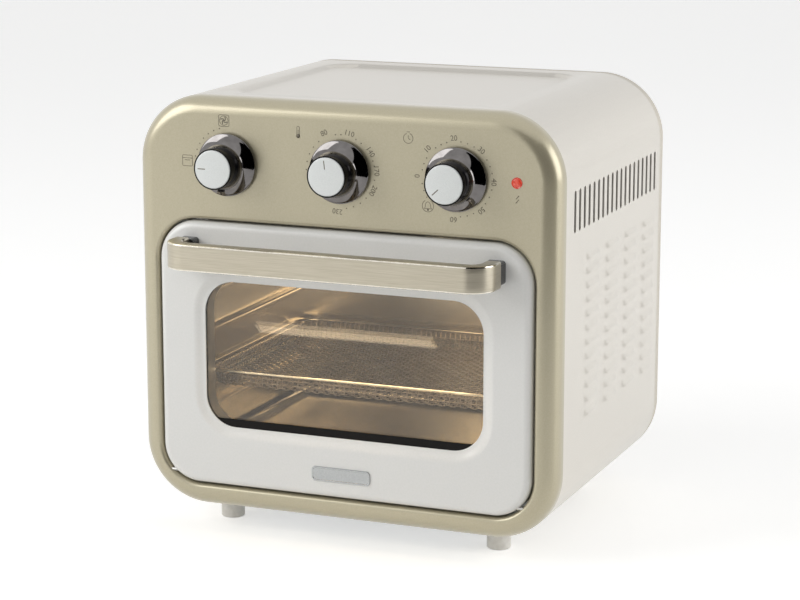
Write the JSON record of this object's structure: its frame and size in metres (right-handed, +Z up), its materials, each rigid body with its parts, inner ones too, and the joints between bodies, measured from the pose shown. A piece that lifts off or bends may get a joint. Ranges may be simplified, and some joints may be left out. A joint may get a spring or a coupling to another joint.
{
  "type": "air fryer oven",
  "caption": "Countertop air fryer oven with a drop-down glass door, front handle, dial controls, sliding mesh basket, heating element and top fan.",
  "frame": {"origin": "centre of the object's footprint at the level the feet stand on", "axes": "+X to the user's right, +Y to the back, +Z up; the door faces -Y"},
  "size_m": [0.3338, 0.3096, 0.3282],
  "materials": {
    "fascia_paint": "champagne pearl",
    "housing_paint": "pearl cream, satin",
    "rear_plastic": "moulded, fine texture",
    "galvanised_sheet": "galvanised",
    "liner_steel": "bright sheet",
    "screw_steel": "zinc plated",
    "black_rubber": "matt",
    "pale_plastic": "matt",
    "dark_plastic": "matt",
    "basket_steel": "drawn wire",
    "heater_steel": "dark sheath",
    "fan_aluminium": "pressed",
    "motor_iron": "laminated",
    "coil_copper": "enamelled wire",
    "bush_bronze": "sintered",
    "lamp_red": "clear red",
    "knob_chrome": "polished",
    "cap_plastic": "gloss",
    "door_plastic": "satin",
    "door_glass": "tempered",
    "badge_metal": "satin",
    "handle_metal": "brushed champagne"
  },
  "bodies": {
    "casing": {"front_fascia": "fascia_paint", "outer_housing": "housing_paint", "base_plate": "galvanised_sheet", "rear_cover": "rear_plastic", "rear_screws": "screw_steel", "cord_inlet": "black_rubber", "feet": "pale_plastic", "foot_screws": "screw_steel", "front_frame": "galvanised_sheet", "cavity_side_walls": "liner_steel", "cavity_back_wall": "liner_steel", "cavity_floor": "liner_steel", "cavity_ceiling": "liner_steel", "crumb_tray": "liner_steel", "heater_coil": "heater_steel", "heater_brackets": "liner_steel", "fan_guard": "liner_steel", "fan_housing": "galvanised_sheet", "heat_shield": "galvanised_sheet", "motor_stator": "motor_iron", "motor_coil": "coil_copper", "motor_brackets": "galvanised_sheet", "shaft_bushes": "bush_bronze", "motor_screws": "screw_steel", "thermal_cutoff": "dark_plastic", "terminal_block": "pale_plastic", "control_bracket": "galvanised_sheet", "control_screws": "screw_steel", "mode_switch": "dark_plastic", "thermostat": "screw_steel", "timer_unit": "screw_steel", "timer_bell": "screw_steel", "shaft_nuts": "bush_bronze", "lamp_lens": "lamp_red", "lamp_holder": "dark_plastic"},
    "door": {"door_panel": "door_plastic", "door_glass": "door_glass", "glass_seal": "black_rubber", "door_inner_frame": "galvanised_sheet", "door_screws": "screw_steel", "door_badge": "badge_metal", "hinge_pins": "screw_steel", "handle_bar": "handle_metal", "handle_bases": "dark_plastic", "handle_screws": "screw_steel"},
    "basket": {"basket_rim": "basket_steel", "basket_mesh": "basket_steel"},
    "mode_dial": {"mode_knob": "knob_chrome", "mode_knob_cap": "cap_plastic", "mode_shaft": "screw_steel"},
    "temperature_dial": {"temperature_knob": "knob_chrome", "temperature_knob_cap": "cap_plastic", "temperature_shaft": "screw_steel"},
    "timer_dial": {"timer_knob": "knob_chrome", "timer_knob_cap": "cap_plastic", "timer_shaft": "screw_steel"},
    "fan": {"fan_impeller": "fan_aluminium", "cooling_fan": "fan_aluminium", "fan_shaft": "screw_steel", "motor_rotor": "motor_iron"}
  },
  "joints": [
    {"name": "door_hinge", "type": "hinge", "parent": "casing", "child": "door", "pos_m": [0, -0.11235, 0.0435], "axis": [1, 0, 0], "range_deg": [0, 85], "stiffness_Nm_per_rad": 0.3, "springref_deg": -57.3},
    {"name": "basket_slide", "type": "slide", "parent": "casing", "child": "basket", "axis": [0, -1, 0], "range_m": [0, 0.1]},
    {"name": "mode_turn", "type": "hinge", "parent": "casing", "child": "mode_dial", "pos_m": [-0.0893, -0.11475, 0.2798], "axis": [0, 1, 0], "range_deg": [0, 90]},
    {"name": "temperature_turn", "type": "hinge", "parent": "casing", "child": "temperature_dial", "pos_m": [0, -0.11475, 0.2798], "axis": [0, 1, 0], "range_deg": [-74, 190]},
    {"name": "timer_turn", "type": "hinge", "parent": "casing", "child": "timer_dial", "pos_m": [0.0893, -0.11475, 0.2798], "axis": [0, 1, 0], "range_deg": [0, 310]},
    {"name": "fan_spin", "type": "hinge", "parent": "casing", "child": "fan", "pos_m": [0, 0.01225, 0.25], "axis": [0, 0, 1], "continuous": true}
  ],
  "couplings": [
    {"joint": "basket_slide", "follows": "door_hinge", "m_per_rad": 0.062}
  ]
}
